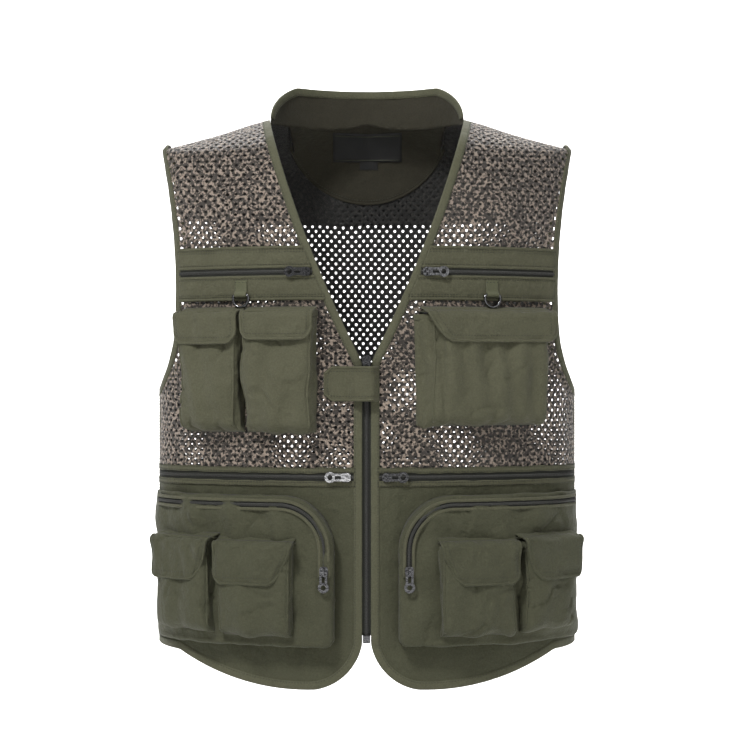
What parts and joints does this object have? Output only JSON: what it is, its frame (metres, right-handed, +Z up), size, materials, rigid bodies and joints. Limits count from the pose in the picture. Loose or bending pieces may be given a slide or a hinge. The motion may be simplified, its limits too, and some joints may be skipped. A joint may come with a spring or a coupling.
{
  "type": "fishing vest",
  "caption": "Sleeveless net-and-cloth vest with a full front zip, zipped cargo pockets, flapped pouches, D-rings and a closing tab.",
  "frame": {"origin": "midway between the two shoulders, at the height where the neck edge meets the shoulder seams", "axes": "+Z up the wearer's back, -Y out of the front, +X towards the wearer's left"},
  "size_m": [0.4548, 0.274, 0.6384],
  "materials": {
    "net": "satin",
    "back_net": "matte",
    "olive": "matte",
    "binding": "matte",
    "lining": "matte",
    "webbing": "matte",
    "zip_tape": "matte",
    "loop_pile": "matte",
    "label": "satin",
    "zip_metal": "polished"
  },
  "bodies": {
    "vest": {"armhole_bindings": "binding", "back_hem_binding": "binding", "back_lower_panel": "olive", "back_net": "back_net", "back_yoke_net": "back_net", "cargo_far_left_pouch": "olive", "cargo_far_right_pouch": "olive", "cargo_near_left_pouch": "olive", "cargo_near_right_pouch": "olive", "cargo_pocket_left": "olive", "cargo_pocket_right": "olive", "cargo_zips": "zip_tape", "chest_bands": "olive", "chest_inner_pouch": "olive", "chest_large_pouch": "olive", "chest_outer_pouch": "olive", "chest_zips": "zip_tape", "collar": "lining", "collar_binding": "binding", "d_ring_tabs": "webbing", "front_binding_left": "binding", "front_binding_right": "binding", "front_lower_left": "olive", "front_lower_right": "olive", "front_net_left": "net", "front_net_right": "net", "loop_patches": "loop_pile", "main_zip_box": "zip_tape", "main_zip_coil": "zip_tape", "main_zip_tapes": "zip_tape", "neck_facing": "lining", "neck_labels": "label", "waist_zips": "zip_tape"},
    "chest_large_flap": {"chest_large_flap": "olive"},
    "chest_inner_flap": {"chest_inner_flap": "olive"},
    "chest_outer_flap": {"chest_outer_flap": "olive"},
    "cargo_near_left_flap": {"cargo_near_left_flap": "olive"},
    "cargo_far_left_flap": {"cargo_far_left_flap": "olive"},
    "cargo_near_right_flap": {"cargo_near_right_flap": "olive"},
    "cargo_far_right_flap": {"cargo_far_right_flap": "olive"},
    "closing_tab": {"closing_tab": "olive"},
    "main_zip_slider": {"main_zip_slider": "zip_metal"},
    "main_zip_pull": {"main_zip_pull": "zip_metal"},
    "chest_zip_left_slider": {"chest_zip_left_slider": "zip_metal"},
    "chest_zip_left_pull": {"chest_zip_left_pull": "zip_metal"},
    "chest_zip_right_slider": {"chest_zip_right_slider": "zip_metal"},
    "chest_zip_right_pull": {"chest_zip_right_pull": "zip_metal"},
    "waist_zip_left_slider": {"waist_zip_left_slider": "zip_metal"},
    "waist_zip_left_pull": {"waist_zip_left_pull": "zip_metal"},
    "waist_zip_right_slider": {"waist_zip_right_slider": "zip_metal"},
    "waist_zip_right_pull": {"waist_zip_right_pull": "zip_metal"},
    "cargo_zip_left_slider": {"cargo_zip_left_slider": "zip_metal"},
    "cargo_zip_left_pull": {"cargo_zip_left_pull": "zip_metal"},
    "cargo_zip_right_slider": {"cargo_zip_right_slider": "zip_metal"},
    "cargo_zip_right_pull": {"cargo_zip_right_pull": "zip_metal"},
    "d_ring_left": {"d_ring_left": "zip_metal"},
    "d_ring_right": {"d_ring_right": "zip_metal"}
  },
  "joints": [
    {"name": "chest_large_flap_lift", "type": "hinge", "parent": "vest", "child": "chest_large_flap", "pos_m": [0.12437, -0.10635, -0.2067], "axis": [-0.9336, -0.3584, 0], "range_deg": [0, 85]},
    {"name": "chest_inner_flap_lift", "type": "hinge", "parent": "vest", "child": "chest_inner_flap", "pos_m": [-0.08942, -0.11768, -0.2067], "axis": [-0.9662, 0.2577, 0], "range_deg": [0, 85]},
    {"name": "chest_outer_flap_lift", "type": "hinge", "parent": "vest", "child": "chest_outer_flap", "pos_m": [-0.15983, -0.0904, -0.2067], "axis": [-0.8876, 0.4606, 0], "range_deg": [0, 85]},
    {"name": "cargo_near_left_flap_lift", "type": "hinge", "parent": "vest", "child": "cargo_near_left_flap", "pos_m": [0.11388, -0.12771, -0.4417], "axis": [-0.9497, -0.3132, 0], "range_deg": [0, 100]},
    {"name": "cargo_far_left_flap_lift", "type": "hinge", "parent": "vest", "child": "cargo_far_left_flap", "pos_m": [0.18898, -0.08939, -0.4387], "axis": [-0.7477, -0.6641, 0], "range_deg": [0, 100]},
    {"name": "cargo_near_right_flap_lift", "type": "hinge", "parent": "vest", "child": "cargo_near_right_flap", "pos_m": [-0.11388, -0.12771, -0.4417], "axis": [-0.9497, 0.3132, 0], "range_deg": [0, 100]},
    {"name": "cargo_far_right_flap_lift", "type": "hinge", "parent": "vest", "child": "cargo_far_right_flap", "pos_m": [-0.18898, -0.08939, -0.4387], "axis": [-0.7477, 0.6641, 0], "range_deg": [0, 100]},
    {"name": "closing_tab_swing", "type": "hinge", "parent": "vest", "child": "closing_tab", "pos_m": [0.0112, -0.1235, -0.282], "axis": [0, 0, 1], "range_deg": [0, 135]},
    {"name": "main_zip_travel", "type": "slide", "parent": "vest", "child": "main_zip_slider", "axis": [0, 0, -1], "range_m": [0, 0.27]},
    {"name": "main_zip_pull_lift", "type": "hinge", "parent": "main_zip_slider", "child": "main_zip_pull", "pos_m": [0, -0.1248, -0.258], "axis": [-1, 0, 0], "range_deg": [0, 8]},
    {"name": "chest_zip_left_travel", "type": "hinge", "parent": "vest", "child": "chest_zip_left_slider", "pos_m": [0, 0.2176, -0.167], "axis": [0, 0, 1], "range_deg": [0, 21]},
    {"name": "chest_zip_left_pull_turn", "type": "hinge", "parent": "chest_zip_left_slider", "child": "chest_zip_left_pull", "pos_m": [0.0631, -0.12016, -0.167], "axis": [0, 0, -1], "range_deg": [0, 150]},
    {"name": "chest_zip_right_travel", "type": "hinge", "parent": "vest", "child": "chest_zip_right_slider", "pos_m": [0, 0.2176, -0.167], "axis": [0, 0, -1], "range_deg": [0, 21]},
    {"name": "chest_zip_right_pull_turn", "type": "hinge", "parent": "chest_zip_right_slider", "child": "chest_zip_right_pull", "pos_m": [-0.0631, -0.12016, -0.167], "axis": [0, 0, 1], "range_deg": [0, 150]},
    {"name": "waist_zip_left_travel", "type": "hinge", "parent": "vest", "child": "waist_zip_left_slider", "pos_m": [0, 0.2176, -0.3775], "axis": [0, 0, 1], "range_deg": [0, 28]},
    {"name": "waist_zip_left_pull_turn", "type": "hinge", "parent": "waist_zip_left_slider", "child": "waist_zip_left_pull", "pos_m": [0.0213, -0.12414, -0.3775], "axis": [0, 0, -1], "range_deg": [0, 150]},
    {"name": "waist_zip_right_travel", "type": "hinge", "parent": "vest", "child": "waist_zip_right_slider", "pos_m": [0, 0.2176, -0.3775], "axis": [0, 0, -1], "range_deg": [0, 28]},
    {"name": "waist_zip_right_pull_turn", "type": "hinge", "parent": "waist_zip_right_slider", "child": "waist_zip_right_pull", "pos_m": [-0.0213, -0.12414, -0.3775], "axis": [0, 0, 1], "range_deg": [0, 150]},
    {"name": "cargo_zip_left_travel", "type": "slide", "parent": "vest", "child": "cargo_zip_left_slider", "axis": [0, 0, 1], "range_m": [0, 0.014]},
    {"name": "cargo_zip_left_pull_lift", "type": "hinge", "parent": "cargo_zip_left_slider", "child": "cargo_zip_left_pull", "pos_m": [0.04358, -0.14217, -0.472], "axis": [-0.9927, -0.1202, 0], "range_deg": [0, 150]},
    {"name": "cargo_zip_right_travel", "type": "slide", "parent": "vest", "child": "cargo_zip_right_slider", "axis": [0, 0, 1], "range_m": [0, 0.014]},
    {"name": "cargo_zip_right_pull_lift", "type": "hinge", "parent": "cargo_zip_right_slider", "child": "cargo_zip_right_pull", "pos_m": [-0.04358, -0.14217, -0.472], "axis": [-0.9927, 0.1202, 0], "range_deg": [0, 150]},
    {"name": "d_ring_left_swing", "type": "hinge", "parent": "vest", "child": "d_ring_left", "pos_m": [0.12991, -0.09947, -0.1905], "axis": [-0.9253, -0.3791, 0], "range_deg": [0, 160]},
    {"name": "d_ring_right_swing", "type": "hinge", "parent": "vest", "child": "d_ring_right", "pos_m": [-0.12991, -0.09947, -0.1905], "axis": [-0.9253, 0.3791, 0], "range_deg": [0, 160]}
  ]
}
